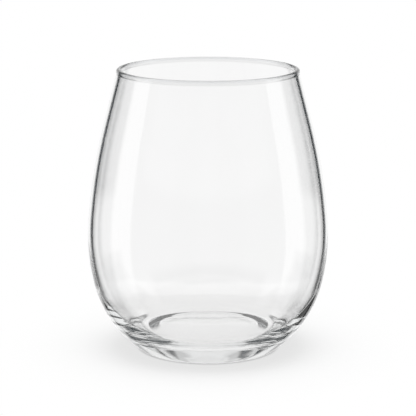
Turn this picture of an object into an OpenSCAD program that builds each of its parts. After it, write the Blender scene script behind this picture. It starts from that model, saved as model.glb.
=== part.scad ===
// Stemless wine glass: a mould-blown tumbler bowl in one piece of clear glass.
// The wall section is drawn as a chain of tangent arcs and turned about the upright axis.
// Millimetres, Z up, origin on the bench at the middle of the foot.

/* [Bowl] */
// Height from the bench to the top of the lip
glass_h = 108.2; // [100:0.2:118]
// Widest outside diameter, at the belly
belly_d = 92; // [86:0.5:100]
// Height of the belly above the bench
belly_z = 44; // [40:0.5:48]
// Outside diameter over the lip bead
lip_d = 69.4; // [66:0.2:73]
// Length of the straight stretch of wall under the lip
straight_l = 19.6; // [12:0.2:28]
// Thickness of the wall, from the lip down to the belly
wall_t = 1.7; // [1.2:0.05:2.2]
// Slant of the straight wall, as a share of the slant from the belly to the lip
lean_share = 1.32; // [1.2:0.01:1.5]
// Where the belly arc gives way to the shoulder arc, as a share of the turns that both allow
shoulder_share = 0.21; // [0.1:0.01:0.6]
// Where the flank arc gives way to the belly arc, as a share of the turns that both allow
flank_share = 0.72; // [0.3:0.01:0.8]

/* [Lip] */
// How far the fire-polished bead round the mouth stands out from the wall on the outside
bead_out = 0.33; // [0.1:0.01:0.45]
// How far the bead stands out from the wall on the inside
bead_in = 0.07; // [0.02:0.01:0.3]
// Radius of the hollow that blends the bead into the wall
bead_blend = 1.2; // [0.6:0.1:2.5]

/* [Cavity] */
// Height of the cavity floor above the bench, on the axis
floor_z = 7.5; // [5.5:0.25:10]
// Diameter of the shallow dish in the middle of the floor, as a share of the belly's
dish_share = 0.576; // [0.44:0.002:0.6]
// Radius that the dish is curved to
dish_r = 900; // [300:50:2000]
// Radius of the round between the dish and the flank of the cavity
corner_r = 10; // [7:0.5:12]
// Upward slope where that round ends, in degrees
corner_angle = 45; // [38:1:52]
// Where the cavity's flank arc gives way to its belly arc, as a share of the turns that both allow
cavity_share = 0.56; // [0.3:0.01:0.8]

/* [Base] */
// Outside diameter of the ring that the glass stands on
foot_d = 51; // [46:0.2:56]
// Width of the flat ring that touches the bench
land_w = 1.2; // [0.4:0.1:2]
// Height of the hollow pushed up into the underside, on the axis
punt_h = 2.2; // [1.6:0.1:3]
// Slope at the edge of the shallow dome in the middle of the hollow, in degrees
dome_angle = 3; // [1:0.5:4]
// Slope of the bevel between the dome and the ring, in degrees
bevel_angle = 20; // [14:1:30]
// Radius of the fold between the dome and the bevel
fold_r = 1.5; // [0.5:0.5:3]
// Radius of the round between the bevel and the ring
punt_edge_r = 1; // [0.5:0.5:3]
// Radius of the heel, the round between the ring and the flank
heel_r = 2.4; // [1.2:0.1:5]
// Upward slope where the heel ends, in degrees
heel_angle = 36; // [28:1:40]

/* [Hidden] */

// How far a chord of the outline may fall short of its arc
arc_sag = 0.012;
// Facets round the axis in a preview
$fn = 180;

// Centre of the bead, and how far it lies from each face of the wall
bead_r = (bead_out + wall_t + bead_in) / 2;
bead_c = [lip_d / 2 - bead_r, glass_h - bead_r];
bead_to_outside = bead_r - bead_out;
bead_to_inside = bead_r - bead_in;
belly = [belly_d / 2, belly_z];
// Lean of the straight wall towards the axis, and its slope: level and outwards is 0, upright is 90
lean_angle = lean_share * atan2(belly.x - bead_c.x, bead_c.y - belly.y);
wall_angle = 90 + lean_angle;
// Directions up the straight wall and square out of it
wall_up = [-sin(lean_angle), cos(lean_angle)];
wall_out = [cos(lean_angle), sin(lean_angle)];

// Way travelled on an arc of unit radius while the slope turns from a to b
function turn(a, b) = [sin(b) - sin(a), cos(a) - cos(b)];

// Number of chords that an arc of this radius and sweep needs to keep within arc_sag
function chords(rad, sweep) = max(2, ceil(abs(sweep) / (2 * acos(1 - arc_sag / abs(rad)))));

// Points of an arc after its start: a negative radius bends the other way
function arc(start, rad, a, b) =
    let (n = chords(rad, b - a))
    [for (i = [1:n]) start + rad * turn(a, a + (b - a) * i / n)];

// How much of the ways p and q adds up to the way across a gap
function shares(gap, p, q) =
    let (area = p.x * q.y - p.y * q.x)
    [(gap.x * q.y - gap.y * q.x) / area, (p.x * gap.y - p.y * gap.x) / area];

// Radii of the two arcs that cross a gap while the slope turns from a through m to b
function two_radii(gap, a, m, b) = shares(gap, turn(a, m), turn(m, b));

// Slope at which those two arcs meet: between the least and the most that keep both radii positive
function break_angle(gap, a, b, share) =
    let (g = atan2(gap.y, gap.x), least = max(a, 2 * g - b), most = min(b, 2 * g - a))
    least + share * (most - least);

function reversed(list) = [for (i = [len(list) - 1:-1:0]) list[i]];

// Outside below the belly: heel, flank and belly arcs
foot_edge = [foot_d / 2, 0];
heel_top = foot_edge + heel_r * turn(0, heel_angle);
flank_angle = break_angle(belly - heel_top, heel_angle, 90, flank_share);
low_radii = two_radii(belly - heel_top, heel_angle, flank_angle, 90);
flank_top = heel_top + low_radii[0] * turn(heel_angle, flank_angle);

// Outside above the belly: belly and shoulder arcs up to the foot of the straight wall
wall_foot = bead_c + bead_to_outside * wall_out - straight_l * wall_up;
shoulder_angle = break_angle(wall_foot - belly, 90, wall_angle, shoulder_share);
high_radii = two_radii(wall_foot - belly, 90, shoulder_angle, wall_angle);
shoulder_foot = belly + high_radii[0] * turn(90, shoulder_angle);

// Cavity: one wall thickness inside the outside above the belly, and a thickening base below it
cavity_belly = belly - [wall_t, 0];
cavity_shoulder = cavity_belly + (high_radii[0] - wall_t) * turn(90, shoulder_angle);
floor_mid = [0, floor_z];
dish_angle = asin(dish_share * belly_d / 2 / dish_r);
dish_edge = floor_mid + dish_r * turn(0, dish_angle);
corner_top = dish_edge + corner_r * turn(dish_angle, corner_angle);
cavity_angle = break_angle(cavity_belly - corner_top, corner_angle, 90, cavity_share);
cavity_radii = two_radii(cavity_belly - corner_top, corner_angle, cavity_angle, 90);
cavity_flank_top = corner_top + cavity_radii[0] * turn(corner_angle, cavity_angle);

// Underside: a dome, a fold, a straight bevel and a round down to the ring
land_edge = foot_edge - [land_w, 0];
punt_mid = [0, punt_h];
bevel_way = [cos(bevel_angle), -sin(bevel_angle)];
punt_rounds = punt_edge_r * turn(-bevel_angle, 0) - fold_r * turn(-dome_angle, -bevel_angle);
// Radius of the dome and length of the bevel that reach the ring beside those rounds
punt_sizes = shares(land_edge - punt_mid - punt_rounds, -turn(0, -dome_angle), bevel_way);
dome_r = punt_sizes[0];
bevel_l = punt_sizes[1];
dome_edge = punt_mid - dome_r * turn(0, -dome_angle);
bevel_top = dome_edge - fold_r * turn(-dome_angle, -bevel_angle);
bevel_foot = bevel_top + bevel_l * bevel_way;

// Point round a centre near the lip, at an angle measured from square out of the wall
function lip_at(centre, rad, angle) =
    centre + rad * (cos(angle) * wall_out + sin(angle) * wall_up);

// Angle over which a blend turns on a side where the wall face is gap from the bead's centre
function blend_turn(gap) = acos((gap + bead_blend) / (bead_r + bead_blend));

// Blend outside, from the wall face up to the bead
function outer_blend() =
    let (t = blend_turn(bead_to_outside), n = chords(bead_blend, t))
    let (centre = lip_at(bead_c, bead_r + bead_blend, -t))
    [for (i = [0:n]) lip_at(centre, bead_blend, 180 - t * i / n)];

// Blend inside, from the bead down to the wall face
function inner_blend() =
    let (t = blend_turn(bead_to_inside), n = chords(bead_blend, t))
    let (centre = lip_at(bead_c, bead_r + bead_blend, 180 + t))
    [for (i = [n:-1:0]) lip_at(centre, bead_blend, t * i / n)];

// Bead from the top of the outer blend, over the lip, to the top of the inner one
function bead() =
    let (a = -blend_turn(bead_to_outside), b = 180 + blend_turn(bead_to_inside))
    let (n = chords(bead_r, b - a))
    [for (i = [1:n - 1]) lip_at(bead_c, bead_r, a + (b - a) * i / n)];

// Hollow underside, from the axis out to the ring: dome, fold, bevel and round
function underside() = concat(
    [punt_mid],
    arc(punt_mid, -dome_r, 0, -dome_angle),
    arc(dome_edge, -fold_r, -dome_angle, -bevel_angle),
    [bevel_foot],
    arc(bevel_foot, punt_edge_r, -bevel_angle, 0));

// Ring, heel, flank, belly and shoulder, up to the foot of the straight wall
function outside() = concat(
    [foot_edge],
    arc(foot_edge, heel_r, 0, heel_angle),
    arc(heel_top, low_radii[0], heel_angle, flank_angle),
    arc(flank_top, low_radii[1], flank_angle, 90),
    arc(belly, high_radii[0], 90, shoulder_angle),
    arc(shoulder_foot, high_radii[1], shoulder_angle, wall_angle));

// Fire-polished lip: both blends and the bead between them
function lip() = concat(outer_blend(), bead(), inner_blend());

// Cavity from the middle of its floor up to the foot of the straight wall
function cavity() = concat(
    [floor_mid],
    arc(floor_mid, dish_r, 0, dish_angle),
    arc(dish_edge, corner_r, dish_angle, corner_angle),
    arc(corner_top, cavity_radii[0], corner_angle, cavity_angle),
    arc(cavity_flank_top, cavity_radii[1], cavity_angle, 90),
    arc(cavity_belly, high_radii[0] - wall_t, 90, shoulder_angle),
    arc(cavity_shoulder, high_radii[1] - wall_t, shoulder_angle, wall_angle));

// The whole glass, one solid turned from its wall section
module glass_body() {
    color([0.90, 0.94, 0.95, 0.45])
        rotate_extrude()
            polygon(concat(underside(), outside(), lip(), reversed(cavity())));
}

glass_body();
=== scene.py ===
"""Looks for a stemless wine glass: one mould-blown bowl of clear glass on a pale studio floor.

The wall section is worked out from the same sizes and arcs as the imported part. It is turned
into a fine surface with the slight waves of blown glass and dressed as clear glass.
The section and its waves are in millimetres. Finishes, lamps, floor and camera are in metres.
"""

import logging
import math
from dataclasses import dataclass
from enum import Enum
from typing import Any

import bpy
import numpy as np
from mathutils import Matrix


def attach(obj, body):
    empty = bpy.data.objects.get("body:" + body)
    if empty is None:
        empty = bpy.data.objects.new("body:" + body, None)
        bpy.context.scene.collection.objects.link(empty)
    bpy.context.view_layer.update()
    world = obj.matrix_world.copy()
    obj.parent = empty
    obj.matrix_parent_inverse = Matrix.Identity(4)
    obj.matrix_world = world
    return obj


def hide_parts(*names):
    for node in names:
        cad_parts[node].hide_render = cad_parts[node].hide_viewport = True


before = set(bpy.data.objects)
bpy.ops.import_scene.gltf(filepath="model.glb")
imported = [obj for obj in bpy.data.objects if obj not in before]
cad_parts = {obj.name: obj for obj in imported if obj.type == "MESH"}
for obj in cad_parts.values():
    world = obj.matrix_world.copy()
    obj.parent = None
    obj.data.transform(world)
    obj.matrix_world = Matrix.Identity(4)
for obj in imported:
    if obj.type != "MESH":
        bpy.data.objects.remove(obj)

LOG = logging.getLogger("stemless_glass")
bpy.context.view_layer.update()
MM = 0.001

# Limits on the chords of an arc: most sag as a share of the radius, widest sweep, and fewest
MOST_SAG_SHARE = 0.02
WIDEST_CHORD = 5.0
FEWEST_CHORDS = 3

Colour = tuple[float, float, float, float]
Span = tuple[float, float]
BLACK: Colour = (0.0, 0.0, 0.0, 1.0)
WHITE: Colour = (1.0, 1.0, 1.0, 1.0)


# ---------------------------------------------------------------- outline of the wall

def unit_turn(start: float, stop: float) -> np.ndarray:
    """Way travelled on an arc of unit radius while the slope turns.

    Formula: (sin stop - sin start, cos start - cos stop), with slope 0 level and outwards.

    Args:
        start: Slope at the start, in degrees.
        stop: Slope at the end, in degrees.

    Returns:
        The step as (radius, height).
    """
    a, b = math.radians(start), math.radians(stop)
    return np.array([math.sin(b) - math.sin(a), math.cos(a) - math.cos(b)])


def arc(start: np.ndarray, radius: float, a: float, b: float, sag: float) -> np.ndarray:
    """Points of an arc after its start, close enough together to keep within a sag.

    Formula: start + radius * unit_turn(a, slope) for evenly spaced slopes from a to b.

    Args:
        start: First point, as (radius, height).
        radius: Radius of the arc; a negative one bends the other way.
        a: Slope at the start, in degrees.
        b: Slope at the end, in degrees.
        sag: How far a chord may fall short of the arc, in millimetres.

    Returns:
        An (n, 2) array without the start point.
    """
    step = math.degrees(2 * math.acos(1 - min(sag / abs(radius), MOST_SAG_SHARE)))
    count = max(FEWEST_CHORDS, math.ceil(abs(b - a) / min(step, WIDEST_CHORD)))
    slope = np.radians(a + (b - a) * np.arange(1, count + 1) / count)
    first = math.radians(a)
    way = np.stack([np.sin(slope) - math.sin(first), math.cos(first) - np.cos(slope)], axis=1)
    return start + radius * way


def two_radii(gap: np.ndarray, a: float, m: float, b: float) -> np.ndarray:
    """Radii of the two arcs that cross a gap while the slope turns from a through m to b.

    Formula: the two unit turns, each times its radius, add up to the gap.

    Args:
        gap: Way to cross, as (radius, height).
        a: Slope at the start, in degrees.
        m: Slope where the arcs meet.
        b: Slope at the end.

    Returns:
        The two radii.
    """
    return np.linalg.solve(np.stack([unit_turn(a, m), unit_turn(m, b)], axis=1), gap)


def break_angle(gap: np.ndarray, a: float, b: float, share: float) -> float:
    """Slope at which two arcs across a gap meet, within the limits that keep both radii positive.

    Args:
        gap: Way to cross, as (radius, height).
        a: Slope at the start, in degrees.
        b: Slope at the end.
        share: Place between the least and the most slope, from 0 to 1.

    Returns:
        The slope where the arcs meet, in degrees.
    """
    chord = math.degrees(math.atan2(gap[1], gap[0]))
    least, most = max(a, 2 * chord - b), min(b, 2 * chord - a)
    return least + share * (most - least)


@dataclass(frozen=True)
class WallSection:
    """Half section of the glass, drawn as a chain of tangent arcs. Sizes in millimetres."""

    glass_h: float = 108.2
    belly_d: float = 92.0
    belly_z: float = 44.0
    lip_d: float = 69.4
    straight_l: float = 19.6
    wall_t: float = 1.7
    lean_share: float = 1.32
    shoulder_share: float = 0.21
    flank_share: float = 0.72
    bead_out: float = 0.33
    bead_in: float = 0.07
    bead_blend: float = 1.2
    floor_z: float = 7.5
    dish_share: float = 0.576
    dish_r: float = 900.0
    corner_r: float = 10.0
    corner_angle: float = 45.0
    cavity_share: float = 0.56
    foot_d: float = 51.0
    land_w: float = 1.2
    punt_h: float = 2.2
    dome_angle: float = 3.0
    bevel_angle: float = 20.0
    fold_r: float = 1.5
    punt_edge_r: float = 1.0
    heel_r: float = 2.4
    heel_angle: float = 36.0
    # Fineness of the outline: sag and length of its chords, and points on a blend and on the bead
    sag: float = 0.0025
    longest: float = 1.6
    blend_points: int = 7
    bead_points: int = 44

    @property
    def belly(self) -> np.ndarray:
        """Widest point of the outside."""
        return np.array([self.belly_d / 2, self.belly_z])

    @property
    def bead_r(self) -> float:
        """Radius of the fire-polished bead round the lip."""
        return (self.bead_out + self.wall_t + self.bead_in) / 2

    @property
    def bead_c(self) -> np.ndarray:
        """Centre of the bead."""
        return np.array([self.lip_d / 2 - self.bead_r, self.glass_h - self.bead_r])

    @property
    def lean(self) -> float:
        """Lean of the straight wall towards the axis, in degrees."""
        rise = self.bead_c - self.belly
        return self.lean_share * math.degrees(math.atan2(-rise[0], rise[1]))

    @property
    def wall_axes(self) -> tuple[np.ndarray, np.ndarray]:
        """Directions square out of the straight wall and up along it."""
        a = math.radians(self.lean)
        return np.array([math.cos(a), math.sin(a)]), np.array([-math.sin(a), math.cos(a)])

    def shoulder(self) -> tuple[np.ndarray, float, float]:
        """Arcs between the belly and the foot of the straight wall.

        Returns:
            Their two outside radii, the slope where they meet and the slope of the straight wall.
        """
        out, up = self.wall_axes
        foot = self.bead_c + (self.bead_r - self.bead_out) * out - self.straight_l * up
        gap = foot - self.belly
        wall = 90 + self.lean
        meet = break_angle(gap, 90, wall, self.shoulder_share)
        return two_radii(gap, 90, meet, wall), meet, wall

    def underside(self) -> np.ndarray:
        """Hollow pushed up into the base, from the axis out to the ring.

        Formula: a dome, a fold, a straight bevel and a round follow each other. The dome's radius
        and the bevel's length are those that reach the ring across the hollow's width and height.

        Returns:
            Points as (radius, height), the first on the axis.
        """
        a, b = self.dome_angle, self.bevel_angle
        top = np.array([0.0, self.punt_h])
        edge = np.array([self.foot_d / 2 - self.land_w, 0.0])
        fixed = -self.fold_r * unit_turn(-a, -b) + self.punt_edge_r * unit_turn(-b, 0)
        down = np.array([math.cos(math.radians(b)), -math.sin(math.radians(b))])
        ways = np.stack([-unit_turn(0, -a), down], axis=1)
        dome, bevel = np.linalg.solve(ways, edge - top - fixed)
        rim = top - dome * unit_turn(0, -a)
        fold = rim - self.fold_r * unit_turn(-a, -b)
        foot = fold + bevel * down
        return np.vstack([
            top[None],
            arc(top, -dome, 0, -a, self.sag),
            arc(rim, -self.fold_r, -a, -b, self.sag),
            foot[None],
            arc(foot, self.punt_edge_r, -b, 0, self.sag)])

    def outside(self) -> np.ndarray:
        """Ring, heel, flank, belly and shoulder, up to the foot of the straight wall.

        Returns:
            Points as (radius, height).
        """
        foot = np.array([self.foot_d / 2, 0.0])
        heel = foot + self.heel_r * unit_turn(0, self.heel_angle)
        gap = self.belly - heel
        meet = break_angle(gap, self.heel_angle, 90, self.flank_share)
        low = two_radii(gap, self.heel_angle, meet, 90)
        flank = heel + low[0] * unit_turn(self.heel_angle, meet)
        high, turn, wall = self.shoulder()
        shoulder = self.belly + high[0] * unit_turn(90, turn)
        return np.vstack([
            foot[None],
            arc(foot, self.heel_r, 0, self.heel_angle, self.sag),
            arc(heel, low[0], self.heel_angle, meet, self.sag),
            arc(flank, low[1], meet, 90, self.sag),
            arc(self.belly, high[0], 90, turn, self.sag),
            arc(shoulder, high[1], turn, wall, self.sag)])

    def lip(self) -> np.ndarray:
        """Fire-polished lip: the blends at both faces and the bead between them.

        Formula: circles round points near the lip, by the angle from square out of the wall.

        Returns:
            Points as (radius, height), from the outer wall face over the lip to the inner one.
        """
        out, up = self.wall_axes

        def circle(centre: np.ndarray, radius: float, degrees: np.ndarray) -> np.ndarray:
            """Points round a centre at angles measured from square out of the wall."""
            t = np.radians(degrees)[:, None]
            return centre + radius * (np.cos(t) * out + np.sin(t) * up)

        reach = self.bead_r + self.bead_blend
        turns = [math.degrees(math.acos((self.bead_r - proud + self.bead_blend) / reach))
                 for proud in (self.bead_out, self.bead_in)]
        outer_c = circle(self.bead_c, reach, np.array([-turns[0]]))
        inner_c = circle(self.bead_c, reach, np.array([180 + turns[1]]))
        ease = np.linspace(0, 1, self.blend_points)
        over = np.linspace(-turns[0], 180 + turns[1], self.bead_points)[1:-1]
        return np.vstack([
            circle(outer_c, self.bead_blend, 180 - turns[0] * ease),
            circle(self.bead_c, self.bead_r, over),
            circle(inner_c, self.bead_blend, turns[1] * ease[::-1])])

    def cavity(self) -> np.ndarray:
        """Cavity from the middle of its floor up to the foot of the straight wall.

        Returns:
            Points as (radius, height), the first on the axis.
        """
        floor = np.array([0.0, self.floor_z])
        dish = math.degrees(math.asin(self.dish_share * self.belly_d / 2 / self.dish_r))
        edge = floor + self.dish_r * unit_turn(0, dish)
        corner = edge + self.corner_r * unit_turn(dish, self.corner_angle)
        widest = self.belly - np.array([self.wall_t, 0.0])
        gap = widest - corner
        meet = break_angle(gap, self.corner_angle, 90, self.cavity_share)
        low = two_radii(gap, self.corner_angle, meet, 90)
        flank = corner + low[0] * unit_turn(self.corner_angle, meet)
        high, turn, wall = self.shoulder()
        high = high - self.wall_t
        shoulder = widest + high[0] * unit_turn(90, turn)
        return np.vstack([
            floor[None],
            arc(floor, self.dish_r, 0, dish, self.sag),
            arc(edge, self.corner_r, dish, self.corner_angle, self.sag),
            arc(corner, low[0], self.corner_angle, meet, self.sag),
            arc(flank, low[1], meet, 90, self.sag),
            arc(widest, high[0], 90, turn, self.sag),
            arc(shoulder, high[1], turn, wall, self.sag)])

    @staticmethod
    def spaced(points: np.ndarray, longest: float) -> np.ndarray:
        """Add points along the long chords of an outline.

        Formula: each chord is cut into equal parts no longer than the limit.

        Args:
            points: Outline as (n, 2).
            longest: Longest chord to leave, in millimetres.

        Returns:
            The outline with the added points.
        """
        way = np.r_[0, np.cumsum(np.linalg.norm(np.diff(points, axis=0), axis=1))]
        parts = np.maximum(1, np.ceil(np.diff(way) / longest)).astype(int)
        start = np.repeat(way[:-1], parts)
        step = np.repeat(np.diff(way) / parts, parts)
        index = np.arange(parts.sum()) - np.repeat(np.r_[0, np.cumsum(parts)[:-1]], parts)
        at = np.r_[start + step * index, way[-1]]
        return np.stack([np.interp(at, way, points[:, axis]) for axis in (0, 1)], axis=1)

    def outline(self) -> tuple[np.ndarray, np.ndarray]:
        """Whole outline, from the middle of the hollow underneath to the middle of the floor.

        Returns:
            Points as (n, 2), and for each whether it lies on the cavity.
        """
        outer = np.vstack([self.underside(), self.outside(), self.lip()])
        points = self.spaced(np.vstack([outer, self.cavity()[::-1]]), self.longest)
        highest = np.argmin(np.abs(points[:, 1] - self.glass_h))
        return points, np.arange(len(points)) > highest


# ---------------------------------------------------------------- shader maths

class Ray(Enum):
    """What the Light Path node tells about a ray: its kind, or how often it has bounced."""

    CAMERA = "Is Camera Ray"
    GLOSSY = "Is Glossy Ray"
    THROUGH = "Is Transmission Ray"
    SHADOW = "Is Shadow Ray"
    SCATTERINGS = "Diffuse Depth"
    MIRRORINGS = "Glossy Depth"


class Signal:
    """A value in a shader. It wraps an output socket, and an expression adds its Math nodes."""

    def __init__(self, board: "Board", socket: Any) -> None:
        """Keep the board and the socket."""
        self.board, self.socket = board, socket

    def __add__(self, other: Any) -> "Signal":
        """Sum."""
        return self.board.math("ADD", self, other)

    __radd__ = __add__

    def __sub__(self, other: Any) -> "Signal":
        """Difference."""
        return self.board.math("SUBTRACT", self, other)

    def __rsub__(self, other: Any) -> "Signal":
        """Difference, from a number."""
        return self.board.math("SUBTRACT", other, self)

    def __mul__(self, other: Any) -> "Signal":
        """Product."""
        return self.board.math("MULTIPLY", self, other)

    __rmul__ = __mul__

    def __abs__(self) -> "Signal":
        """Size without the sign."""
        return self.board.math("ABSOLUTE", self)

    def ramp(self, low: float, high: float) -> "Signal":
        """Smooth step from 0 at low to 1 at high; high may be the lesser.

        Args:
            low: Value that gives 0.
            high: Value that gives 1.

        Returns:
            The eased mask.
        """
        if low > high:
            return 1 - self.ramp(high, low)
        return self.board.get("ShaderNodeMapRange", "Result",
                              {"interpolation_type": "SMOOTHSTEP", "clamp": True},
                              {"Value": self, "From Min": low, "From Max": high})


class Board:
    """A node tree, with one method that adds any node."""

    def __init__(self, tree: Any) -> None:
        """Empty the tree and keep it."""
        tree.nodes.clear()
        self.tree = tree

    def plug(self, value: Any, socket: Any) -> None:
        """Link a signal or an output to a socket, or write a plain value on it."""
        if isinstance(value, Signal):
            value = value.socket
        if isinstance(value, bpy.types.NodeSocket):
            self.tree.links.new(value, socket)
        else:
            socket.default_value = value

    def add(self, kind: str, settings: dict[str, Any] | None = None,
            values: dict[str | int, Any] | None = None) -> Any:
        """Add a node.

        Args:
            kind: Type name of the node.
            settings: Its settings, which are set first.
            values: Values or links of its input sockets, by name or number.

        Returns:
            The node.
        """
        node = self.tree.nodes.new(kind)
        for name, value in (settings or {}).items():
            setattr(node, name, value)
        for name, value in (values or {}).items():
            self.plug(value, node.inputs[name])
        return node

    def get(self, kind: str, output: str, settings: dict[str, Any] | None = None,
            values: dict[str | int, Any] | None = None) -> Signal:
        """Add a node and wrap one of its outputs, named by output."""
        return Signal(self, self.add(kind, settings, values).outputs[output])

    def math(self, operation: str, *terms: Any) -> Signal:
        """Add a Math node for an operation on its terms."""
        return self.get("ShaderNodeMath", "Value", {"operation": operation},
                        dict(enumerate(terms)))

    def length(self, vector: Any) -> Signal:
        """Length of a vector."""
        return self.get("ShaderNodeVectorMath", "Value", {"operation": "LENGTH"}, {0: vector})

    def axes(self, vector: Any) -> tuple[Signal, ...]:
        """Split a vector into its X, Y and Z."""
        parts = self.add("ShaderNodeSeparateXYZ", {}, {"Vector": vector})
        return tuple(Signal(self, parts.outputs[axis]) for axis in "XYZ")

    def ray(self, kind: Ray) -> Signal:
        """What the Light Path node tells about the ray."""
        return self.get("ShaderNodeLightPath", kind.value)

    def without(self, kind: Ray) -> Signal:
        """1 for a ray with no such bounce behind it, else 0."""
        return 1 - self.math("MINIMUM", self.ray(kind), 1.0)

    def noise(self, where: Any, scale: float, detail: float = 2.0,
              distortion: float = 0.0) -> Signal:
        """Add a noise over a place vector.

        Args:
            where: Place to read it at.
            scale: Cells per metre.
            detail: Octaves.
            distortion: How far it is warped.

        Returns:
            The noise, about 0 to 1.
        """
        return self.get("ShaderNodeTexNoise", "Fac", {"noise_dimensions": "3D"},
                        {"Vector": where, "Scale": scale, "Detail": detail,
                         "Distortion": distortion})

    def colour(self, red: Any, green: Any, blue: Any) -> Signal:
        """Make a colour from three levels."""
        return self.get("ShaderNodeCombineColor", "Color", {},
                        {"Red": red, "Green": green, "Blue": blue})

    def grey(self, level: Any) -> Signal:
        """Make a grey colour from a level."""
        return self.colour(level, level, level)

    def blend(self, share: Any, first: Any, second: Any) -> Signal:
        """Mix two colours by a share.

        Args:
            share: Share of the second.
            first: Colour at 0.
            second: Colour at 1.

        Returns:
            The mixed colour.
        """
        node = self.add("ShaderNodeMix", {"data_type": "RGBA"}, {0: share, 6: first, 7: second})
        return Signal(self, node.outputs[2])

    def clear(self, tint: Any = WHITE) -> Signal:
        """Transparent shader with a tint."""
        return self.get("ShaderNodeBsdfTransparent", "BSDF", {}, {"Color": tint})

    def mix(self, share: Any, first: Signal, second: Signal) -> Signal:
        """Mix two shaders by a share of the second."""
        return self.get("ShaderNodeMixShader", "Shader", {}, {0: share, 1: first, 2: second})


def new_material(name: str) -> tuple[Any, Board]:
    """Make a material and the board of its nodes.

    Args:
        name: Name of the material.

    Returns:
        The material and its board.
    """
    material = bpy.data.materials.new(name)
    material.use_nodes = True
    return material, Board(material.node_tree)


# ---------------------------------------------------------------- finishes

@dataclass(frozen=True)
class ClearGlass:
    """Finish of clear soda-lime glass, fire-polished, with a little wear where it stands, and
    painted shade that greys its thick base and its lip bead.

    A field that ends in _rise is the pair of heights between which its mask grows from 0 to 1.
    """

    ior: float = 1.52
    body_tint: Colour = (0.6, 0.85, 0.85, 1.0)
    body_density: float = 0.5
    # Tint of the surface on the wall, and painted shade: an uneven darkening low in the thick
    # base, and a darkening of the lip bead that draws a dark line along the rim
    tint: Colour = (0.995, 0.995, 0.995, 1.0)
    base_painted_shade: Colour = (0.874, 0.872, 0.87, 1.0)
    base_painted_shade_rise: Span = (0.018, 0.007)
    base_shade_unevenness: float = 0.2
    base_shade_uneven_scale: float = 60.0
    lip_painted_shade: Colour = (0.7, 0.71, 0.72, 1.0)
    lip_painted_shade_rise: Span = (0.1069, 0.1076)
    # Waves of the mould and the draw of the glass, and the skin of the fire polish
    wave_scale: float = 70.0
    wave_stretch: float = 0.35
    wave_warp: float = 0.3
    skin_scale: float = 420.0
    skin_share: float = 0.2
    relief: float = 0.00001
    relief_strength: float = 0.35
    # Patches that are rubbed dull on the ring that it stands on
    wear_rough: float = 0.18
    wear_rise: Span = (0.0004, 0.00005)
    wear_scale: float = 900.0
    wear_patch: Span = (0.42, 0.7)
    # Light that each surface lets through to the floor
    wall_shade: Colour = (0.979, 0.98, 0.98, 1.0)
    heel_shade: Colour = (0.892, 0.891, 0.89, 1.0)
    heel_rise: Span = (0.03, 0.001)
    heel_radii: Span = (0.021, 0.026)
    foot_shade: Colour = (0.55, 0.55, 0.55, 1.0)
    foot_rise: Span = (0.0012, 0.0003)

    def relief_normal(self, board: Board, place: Signal) -> Signal:
        """Shape the slight unevenness of the surface.

        Args:
            board: Board to add to.
            place: Place on the object.

        Returns:
            The normal.
        """
        drawn = board.get("ShaderNodeMapping", "Vector", {},
                          {"Vector": place, "Scale": (1.0, 1.0, self.wave_stretch)})
        waves = (board.noise(drawn, self.wave_scale, detail=1.0, distortion=self.wave_warp)
                 * (1 - self.skin_share)
                 + board.noise(place, self.skin_scale) * self.skin_share)
        return board.get("ShaderNodeBump", "Normal", {},
                         {"Strength": self.relief_strength, "Distance": self.relief,
                          "Height": waves})

    def surface(self, board: Board, place: Signal, height: Signal) -> Signal:
        """Glass that the eye sees, its colour darkened by painted shade low in the base and on the
        lip bead.

        Args:
            board: Board to add to.
            place: Place on the object.
            height: Height above the floor.

        Returns:
            The shader.
        """
        patches = board.noise(place, self.wear_scale, detail=4.0).ramp(*self.wear_patch)
        rough = height.ramp(*self.wear_rise) * patches * self.wear_rough
        # Painted shade: the colour greys unevenly low in the thick base
        uneven_base_shade = (1 - self.base_shade_unevenness) + self.base_shade_unevenness * board.noise(place, self.base_shade_uneven_scale)
        colour = board.blend(height.ramp(*self.base_painted_shade_rise) * uneven_base_shade, self.tint, self.base_painted_shade)
        # Painted shade on the lip bead, which draws a dark line along the rim
        colour = board.blend(height.ramp(*self.lip_painted_shade_rise), colour, self.lip_painted_shade)
        return board.get("ShaderNodeBsdfPrincipled", "BSDF", {},
                         {"Base Color": colour, "Roughness": rough, "IOR": self.ior,
                          "Transmission Weight": 1.0,
                          "Normal": self.relief_normal(board, place)})

    def shadow(self, board: Board, height: Signal, radius: Signal) -> Signal:
        """See-through tint for shadow rays.

        The thin wall lets most light down to the floor. The heel and the low flank, which bend it
        away in real glass, let less through, and the ring that touches the floor least.

        Args:
            board: Board to add to.
            height: Height above the floor.
            radius: Distance from the axis.

        Returns:
            The shader.
        """
        dark = board.mix(height.ramp(*self.foot_rise), board.clear(self.heel_shade),
                         board.clear(self.foot_shade))
        heel = height.ramp(*self.heel_rise) * radius.ramp(*self.heel_radii)
        return board.mix(heel, board.clear(self.wall_shade), dark)

    def material(self) -> Any:
        """Build the material: glass for the eye, and a see-through tint for shadow rays.

        Returns:
            The material.
        """
        material, board = new_material("clear_glass")
        place = board.get("ShaderNodeTexCoord", "Object")
        x, y, height = board.axes(place)
        flat = board.get("ShaderNodeCombineXYZ", "Vector", {}, {"X": x, "Y": y})
        shadow = self.shadow(board, height, board.length(flat))
        mixed = board.mix(board.ray(Ray.SHADOW), self.surface(board, place, height), shadow)
        body = board.get("ShaderNodeVolumeAbsorption", "Volume", {},
                         {"Color": self.body_tint, "Density": self.body_density})
        board.add("ShaderNodeOutputMaterial", {}, {"Surface": mixed, "Volume": body})
        return material


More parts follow.
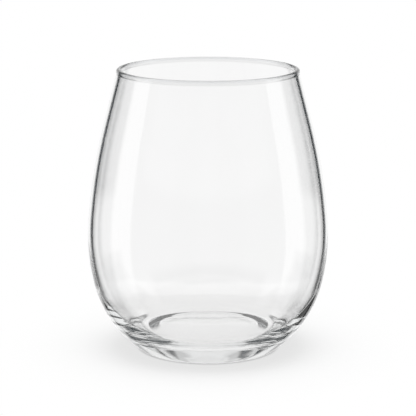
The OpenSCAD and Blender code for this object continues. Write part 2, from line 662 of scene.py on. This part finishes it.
@dataclass(frozen=True)
class PaleFloor:
    """Finish of the studio floor: near-white paper that keeps the soft shadow of the glass.

    It fades into plain white away from the glass. Rays that leave the glass pass through it and
    see the surroundings below it.
    """

    colour: float = 0.8
    glow: float = 0.2
    fade: Span = (0.04, 0.085)
    grain: float = 0.01
    grain_scale: float = 300.0

    def material(self) -> Any:
        """Build the material.

        Returns:
            The material.
        """
        material, board = new_material("pale_floor")
        place = board.get("ShaderNodeTexCoord", "Object")
        far = board.length(place).ramp(*self.fade)
        grain = (1 - self.grain) + self.grain * board.noise(place, self.grain_scale, detail=3.0)
        paper = board.get("ShaderNodeBsdfDiffuse", "BSDF", {},
                          {"Color": board.grey(self.colour * (1 - far) * grain)})
        camera = board.ray(Ray.CAMERA)
        level = camera * (self.glow + (1 - self.glow) * far)
        glow = board.get("ShaderNodeEmission", "Emission", {}, {"Color": board.grey(level)})
        both = board.get("ShaderNodeAddShader", "Shader", {}, {0: paper, 1: glow})
        from_glass = board.math("MINIMUM", board.ray(Ray.GLOSSY) + board.ray(Ray.THROUGH), 1.0)
        mixed = board.mix(from_glass * (1 - camera), both, board.clear())
        board.add("ShaderNodeOutputMaterial", {}, {"Surface": mixed})
        return material


# ---------------------------------------------------------------- the glass

@dataclass(frozen=True)
class Wave:
    """One wave round the glass: its count round the axis, share, drift per millimetre, phase."""

    count: int
    share: float
    drift: float
    phase: float


@dataclass
class GlassBody:
    """The whole object: one piece of glass, turned from its wall section.

    The waves' sizes are millimetres. The wall's waves are full from wall_reach outwards, and the
    base's are greatest at base_z and from base_reach outwards, and fade over base_spread.
    """

    section: WallSection
    finish: ClearGlass
    around: int = 256
    round_waves: tuple[Wave, ...] = (
        Wave(3, 0.42, 0.02, 0.6), Wave(5, 0.3, -0.05, 2.1),
        Wave(8, 0.22, 0.07, 4.0), Wave(13, 0.14, -0.11, 1.2))
    wave_wall: float = 0.004
    wall_reach: float = 20.0
    wave_base: float = 0.16
    base_z: float = 13.0
    base_spread: float = 9.0
    base_reach: float = 26.0
    body: str = "root"
    node: str = "glass_body"
    name: str = "blown_glass_body"

    def waves(self, points: np.ndarray, on_cavity: np.ndarray, angle: np.ndarray) -> np.ndarray:
        """How far the glass stands off its true section, along the outline's normal.

        Formula: a few low harmonics of the angle, each turned a little more with the height,
        summed and weighted. The weight is small on the wall, greatest where the cavity's corner
        was blown against the thick base, and nothing outside, where the mould held the glass.

        Args:
            points: Outline as (n, 2), in millimetres.
            on_cavity: For each point, whether it is on the cavity.
            angle: Angles round the axis, in radians.

        Returns:
            An (n, m) array in millimetres.
        """
        radius, height = points[:, :1], points[:, 1:]
        total = sum(wave.share * np.sin(wave.count * angle + wave.drift * height + wave.phase)
                    for wave in self.round_waves)
        near_base = (np.exp(-((height - self.base_z) / self.base_spread) ** 2)
                     * np.clip(radius / self.base_reach, 0, 1) ** 2)
        weight = (self.wave_wall * np.clip(radius / self.wall_reach, 0, 1)
                  + self.wave_base * near_base)
        return np.where(on_cavity[:, None], weight, 0.0) * total

    def grid(self) -> tuple[np.ndarray, np.ndarray, np.ndarray]:
        """Turn the outline about the upright axis.

        Formula: for outline point (r, z) and angle t, (r cos t, r sin t, z), with one point at
        each pole.

        Returns:
            Vertices in metres, the quads of the bands, and the triangles of the two poles.
        """
        points, on_cavity = self.section.outline()
        angle = 2 * np.pi * np.arange(self.around) / self.around
        slope = np.gradient(points, axis=0)
        normal = np.stack([slope[:, 1], -slope[:, 0]], axis=1)
        normal /= np.linalg.norm(normal, axis=1, keepdims=True)
        off = self.waves(points, on_cavity, angle)
        radius = points[:, :1] + normal[:, :1] * off
        height = points[:, 1:] + normal[:, 1:] * off
        rings = np.stack([radius * np.cos(angle), radius * np.sin(angle), height], axis=-1)[1:-1]
        poles = np.array([[0, 0, points[0, 1]], [0, 0, points[-1, 1]]])
        vertices = np.vstack([rings.reshape(-1, 3), poles]) * MM
        row = np.arange(len(rings) - 1)[:, None] * self.around
        col = np.arange(self.around)[None, :]
        nxt = (col + 1) % self.around
        quads = np.stack([row + col, row + nxt, row + self.around + nxt,
                          row + self.around + col], axis=-1)
        lowest, highest = len(rings) * self.around, len(rings) * self.around + 1
        ring, after = col[0], nxt[0]
        last = (len(rings) - 1) * self.around
        below = np.stack([np.full_like(ring, lowest), after, ring], axis=1)
        above = np.stack([np.full_like(ring, highest), last + ring, last + after], axis=1)
        return vertices, quads.reshape(-1, 4), np.vstack([below, above])

    def build(self) -> Any:
        """Make the piece, dress it and put it in the place of the CAD node.

        Returns:
            The object.
        """
        vertices, quads, fans = self.grid()
        mesh = bpy.data.meshes.new(self.name)
        mesh.from_pydata(vertices.tolist(), [], quads.tolist() + fans.tolist())
        mesh.polygons.foreach_set("use_smooth", np.ones(len(mesh.polygons), bool))
        mesh.update()
        piece = bpy.data.objects.new(self.name, mesh)
        bpy.context.scene.collection.objects.link(piece)
        mesh.materials.append(self.finish.material())
        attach(piece, self.body)
        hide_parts(self.node)
        LOG.info("%s: %d vertices, %d faces", self.name, len(mesh.vertices), len(mesh.polygons))
        return piece


# ---------------------------------------------------------------- the studio

class Side(Enum):
    """Sides of the glass, as seen from the camera."""

    LEFT = -1
    RIGHT = 1


@dataclass(frozen=True)
class Fall:
    """A soft step down of the window's level: how far, and the rises where it starts and ends."""

    depth: float
    start: float
    end: float


@dataclass(frozen=True)
class Surroundings:
    """What the camera and the glass see round the studio, painted by direction.

    A turn is the angle from straight behind the glass to either side, in degrees. A rise is the
    upward part of a direction of unit length, from -1 to 1. A pair is where a mask is 0 and 1.
    """

    # Bright window behind the glass, narrower at the top, with a brighter line at the table's edge
    window: float = 24.0
    window_soft: float = 2.2
    window_level: float = 0.95
    window_narrows: float = 4.0
    narrow_rise: Span = (0.1, 0.3)
    window_falls: tuple[Fall, ...] = (
        Fall(0.1, -0.12, 0.05), Fall(0.06, 0.2, 0.4), Fall(0.05, -0.78, -0.88))
    corner_fall: float = 0.33
    corner_turn: Span = (6.0, 14.0)
    corner_rise: Span = (0.25, 0.45)
    table_rise: float = -0.325
    table_line: Span = (0.03, 0.015)
    table_gain: float = 0.06
    # Dark gap beside the window, which draws the edge of the glass
    dark: tuple[float, float, float] = (0.006, 0.016, 0.021)
    gap: Span = (29.0, 44.0)
    # White walls, lower above the horizon, with soft dark bars that draw the edges from the sides
    wall_level: float = 0.94
    wall_recess: float = 38.0
    recess_rise: Span = (-0.15, 0.0)
    wall_top: Span = (0.6, 0.35)
    wall_foot: Span = (-0.6, -0.45)
    bars: tuple[float, ...] = (60.0, 120.0, 150.0)
    bar_half: float = 6.0
    bar_depth: float = 0.5
    # Walls as the outer face of the glass mirrors them
    glare_level: float = 0.4
    glare_soft: float = 13.0
    # Room below the horizon, darker at the window's sides, and white straight below
    low_level: float = 0.9
    low_rise: Span = (-0.25, -0.5)
    low_soft: float = 3.0
    low_side: float = 0.5
    low_side_turn: Span = (85.0, 72.0)
    low_corner: float = 0.25
    low_corner_turn: Span = (44.0, 54.0)
    below_rise: Span = (-0.76, -0.84)
    # Room above the horizon behind the camera
    high_level: float = 0.8
    high_turn: Span = (90.0, 120.0)
    high_rise: Span = (0.02, 0.15)
    high_fall: float = 0.5
    high_fall_rise: Span = (0.25, 0.6)
    # Ceiling, and a white panel at each side
    ceiling_level: float = 0.85
    ceiling_rise: Span = (0.6, 0.72)
    panel_level: float = 1.0
    panel_turn: float = 90.0
    panel_half: Span = (14.0, 12.0)
    panel_rise: Span = (0.76, 0.7)

    def bright_window(self, turn: Signal, rise: Signal) -> Signal:
        """Window behind the glass.

        Args:
            turn: Turn of the direction.
            rise: Rise of the direction.

        Returns:
            Its level.
        """
        shade = 1 - self.corner_fall * turn.ramp(*self.corner_turn) * rise.ramp(*self.corner_rise)
        for fall in self.window_falls:
            shade = shade * (1 - fall.depth * rise.ramp(fall.start, fall.end))
        shade = shade * (1 + self.table_gain * abs(rise - self.table_rise).ramp(*self.table_line))
        narrow = turn + self.window_narrows * rise.ramp(*self.narrow_rise)
        edge = narrow.ramp(self.window + self.window_soft, self.window - self.window_soft)
        return edge * shade * self.window_level

    def low_room(self, turn: Signal, rise: Signal) -> Signal:
        """Room below the horizon.

        Args:
            turn: Turn of the direction.
            rise: Rise of the direction.

        Returns:
            Its level.
        """
        darker = turn.ramp(*self.low_side_turn) * (
            self.low_side + self.low_corner * turn.ramp(*self.low_corner_turn))
        beside = turn.ramp(self.gap[0] - self.low_soft, self.gap[0] + self.low_soft)
        low = rise.ramp(*self.low_rise) * beside * (self.low_level - darker)
        return turn.board.math("MAXIMUM", low, self.low_level * rise.ramp(*self.below_rise))

    def high_room(self, turn: Signal, rise: Signal) -> Signal:
        """Room above the horizon behind the camera."""
        level = self.high_level - self.high_fall * rise.ramp(*self.high_fall_rise)
        return turn.ramp(*self.high_turn) * rise.ramp(*self.high_rise) * level

    def side_panel(self, turn: Signal, rise: Signal) -> Signal:
        """White panel at each side."""
        across = abs(turn - self.panel_turn).ramp(*self.panel_half)
        return across * abs(rise).ramp(*self.panel_rise) * self.panel_level

    def walls(self, turn: Signal, rise: Signal) -> Signal:
        """White walls with dark bars.

        The bars stay out of what the far wall of the glass mirrors, where they would show as
        streaks.

        Args:
            turn: Turn of the direction.
            rise: Rise of the direction.

        Returns:
            Their level.
        """
        recessed = turn - self.wall_recess * rise.ramp(*self.recess_rise)
        level = self.wall_level * recessed.ramp(*self.gap)
        depth = turn.board.without(Ray.MIRRORINGS) * self.bar_depth
        for bar in self.bars:
            level = level * (1 - depth * abs(turn - bar).ramp(self.bar_half, 0.0))
        return level

    def paint(self) -> None:
        """Paint the world by direction.

        The camera sees white all round. Rays that leave the glass see the studio, with plainer
        walls where its outer face mirrors them. Other rays see nothing.
        """
        world = bpy.data.worlds.new("studio")
        bpy.context.scene.world = world
        world.use_nodes = True
        board = Board(world.node_tree)
        x, y, rise = board.axes(board.get("ShaderNodeTexCoord", "Generated"))
        turn = abs(board.math("ARCTAN2", x, y)) * (180 / math.pi)
        others = (self.bright_window(turn, rise), self.low_room(turn, rise),
                  self.high_room(turn, rise), self.side_panel(turn, rise),
                  rise.ramp(*self.ceiling_rise) * self.ceiling_level)
        glare = self.glare_level * turn.ramp(self.gap[0], self.gap[1] + self.glare_soft)
        reach = rise.ramp(*self.wall_top) * rise.ramp(*self.wall_foot)
        red, green, blue = self.dark
        light = BLACK
        direct = board.without(Ray.SCATTERINGS)
        # A ray through the glass counts as glossy too, so its own share is blended in last
        for part, kind in ((glare, Ray.GLOSSY), (self.walls(turn, rise), Ray.THROUGH)):
            seen = red + part * reach
            for other in others:
                seen = board.math("MAXIMUM", seen, other)
            tinted = board.colour(seen, board.math("MAXIMUM", seen, green),
                                  board.math("MAXIMUM", seen, blue))
            light = board.blend(board.ray(kind) * direct, light, tinted)
        light = board.blend(board.ray(Ray.CAMERA), light, WHITE)
        paint = board.get("ShaderNodeBackground", "Background", {},
                          {"Color": light, "Strength": 1.0})
        board.add("ShaderNodeOutputWorld", {}, {"Surface": paint})
        LOG.info("surroundings: window %.0f degrees to each side", self.window)


@dataclass
class Studio:
    """Floor, surroundings, lamps and camera. Lengths in metres."""

    surroundings: Surroundings
    paper: PaleFloor
    floor_half: float = 3.0
    overhead_size: float = 0.7
    overhead_z: float = 1.0
    overhead_light: float = 7.4
    strip_x: float = 0.7
    strip_y: float = -0.003
    strip_w: float = 0.334
    strip_low: float = -0.8
    strip_high: float = 0.75
    strip_light: float = 0.6
    # Camera: its place, the height that it looks at, its lens as pixels of the photograph
    # against the photograph's width, and the nearest that it sees
    eye_y: float = -0.733
    eye_z: float = 0.2084
    aim_z: float = 0.0543
    lens_px: float = 1955.5
    photo_px: float = 416.0
    sensor_mm: float = 36.0
    nearest: float = 0.01
    # Most crossings of glass, and most mirrorings, along a path
    bounces: int = 24
    mirrorings: int = 16

    def floor(self) -> Any:
        """Lay the floor as one flat square.

        Returns:
            The floor.
        """
        corner = np.array([[-1, -1, 0], [1, -1, 0], [1, 1, 0], [-1, 1, 0]]) * self.floor_half
        mesh = bpy.data.meshes.new("studio_floor")
        mesh.from_pydata(corner.tolist(), [], [[0, 1, 2, 3]])
        floor = bpy.data.objects.new("studio_floor", mesh)
        bpy.context.scene.collection.objects.link(floor)
        mesh.materials.append(self.paper.material())
        LOG.info("studio_floor: %.1f m square", 2 * self.floor_half)
        return floor

    def lamp(self, name: str, size: tuple[float, float], light: float,
             place: tuple[float, float, float], turn_y: float, for_floor: bool) -> Any:
        """Hang a flat soft lamp that the camera doesn't see.

        Args:
            name: Name of the lamp.
            size: Width and height.
            light: Brightness of its face, where 1 is white.
            place: Middle of its face.
            turn_y: Turn about Y, in degrees; it faces down at 0.
            for_floor: Whether it lights the floor alone, or else the glass alone.

        Returns:
            The lamp.
        """
        data = bpy.data.lights.new(name, "AREA")
        data.shape = "RECTANGLE"
        data.size, data.size_y = size
        data.energy = math.pi * size[0] * size[1] * light
        lamp = bpy.data.objects.new(name, data)
        lamp.location = place
        lamp.rotation_euler = (0.0, math.radians(turn_y), 0.0)
        lamp.visible_camera = False
        lamp.visible_diffuse = for_floor
        lamp.visible_glossy = not for_floor
        lamp.visible_transmission = False
        bpy.context.scene.collection.objects.link(lamp)
        LOG.info("%s: %.2f by %.2f m", name, *size)
        return lamp

    def lamps(self) -> None:
        """Hang the overhead lamp, and a tall soft lamp at each side of the glass."""
        self.lamp("overhead_lamp", (self.overhead_size, self.overhead_size),
                  self.overhead_light, (0.0, 0.0, self.overhead_z), 0.0, True)
        tall = self.strip_high - self.strip_low
        middle = (self.strip_high + self.strip_low) / 2
        for side in Side:
            self.lamp(f"side_lamp_{side.name.lower()}", (tall, self.strip_w), self.strip_light,
                      (side.value * self.strip_x, self.strip_y, middle), side.value * 90.0, False)

    def camera(self) -> Any:
        """Set up the camera at the photograph's height, distance and lens.

        Returns:
            The camera.
        """
        data = bpy.data.cameras.new("studio_camera")
        data.sensor_width = self.sensor_mm
        data.lens = self.lens_px / self.photo_px * self.sensor_mm
        data.clip_start = self.nearest
        camera = bpy.data.objects.new("studio_camera", data)
        camera.location = (0.0, self.eye_y, self.eye_z)
        down = math.atan2(self.eye_z - self.aim_z, -self.eye_y)
        camera.rotation_euler = (math.pi / 2 - down, 0.0, 0.0)
        bpy.context.scene.collection.objects.link(camera)
        bpy.context.scene.camera = camera
        LOG.info("studio_camera: %.1f mm lens", data.lens)
        return camera

    def light_paths(self) -> None:
        """Let rays cross the thick base often enough, and leave the plain view transform."""
        scene = bpy.context.scene
        scene.view_settings.view_transform = "Standard"
        scene.cycles.max_bounces = self.bounces
        scene.cycles.transmission_bounces = self.bounces
        scene.cycles.glossy_bounces = self.mirrorings
        scene.cycles.transparent_max_bounces = self.mirrorings
        scene.cycles.caustics_refractive = False
        scene.cycles.caustics_reflective = False

    def build(self) -> None:
        """Set up the whole studio."""
        self.camera()
        self.floor()
        self.surroundings.paint()
        self.lamps()
        self.light_paths()


def main() -> None:
    """Build the glass and the studio."""
    logging.basicConfig(level=logging.INFO, format="%(message)s")
    GlassBody(WallSection(), ClearGlass()).build()
    Studio(Surroundings(), PaleFloor()).build()


if __name__ == "__main__":
    main()
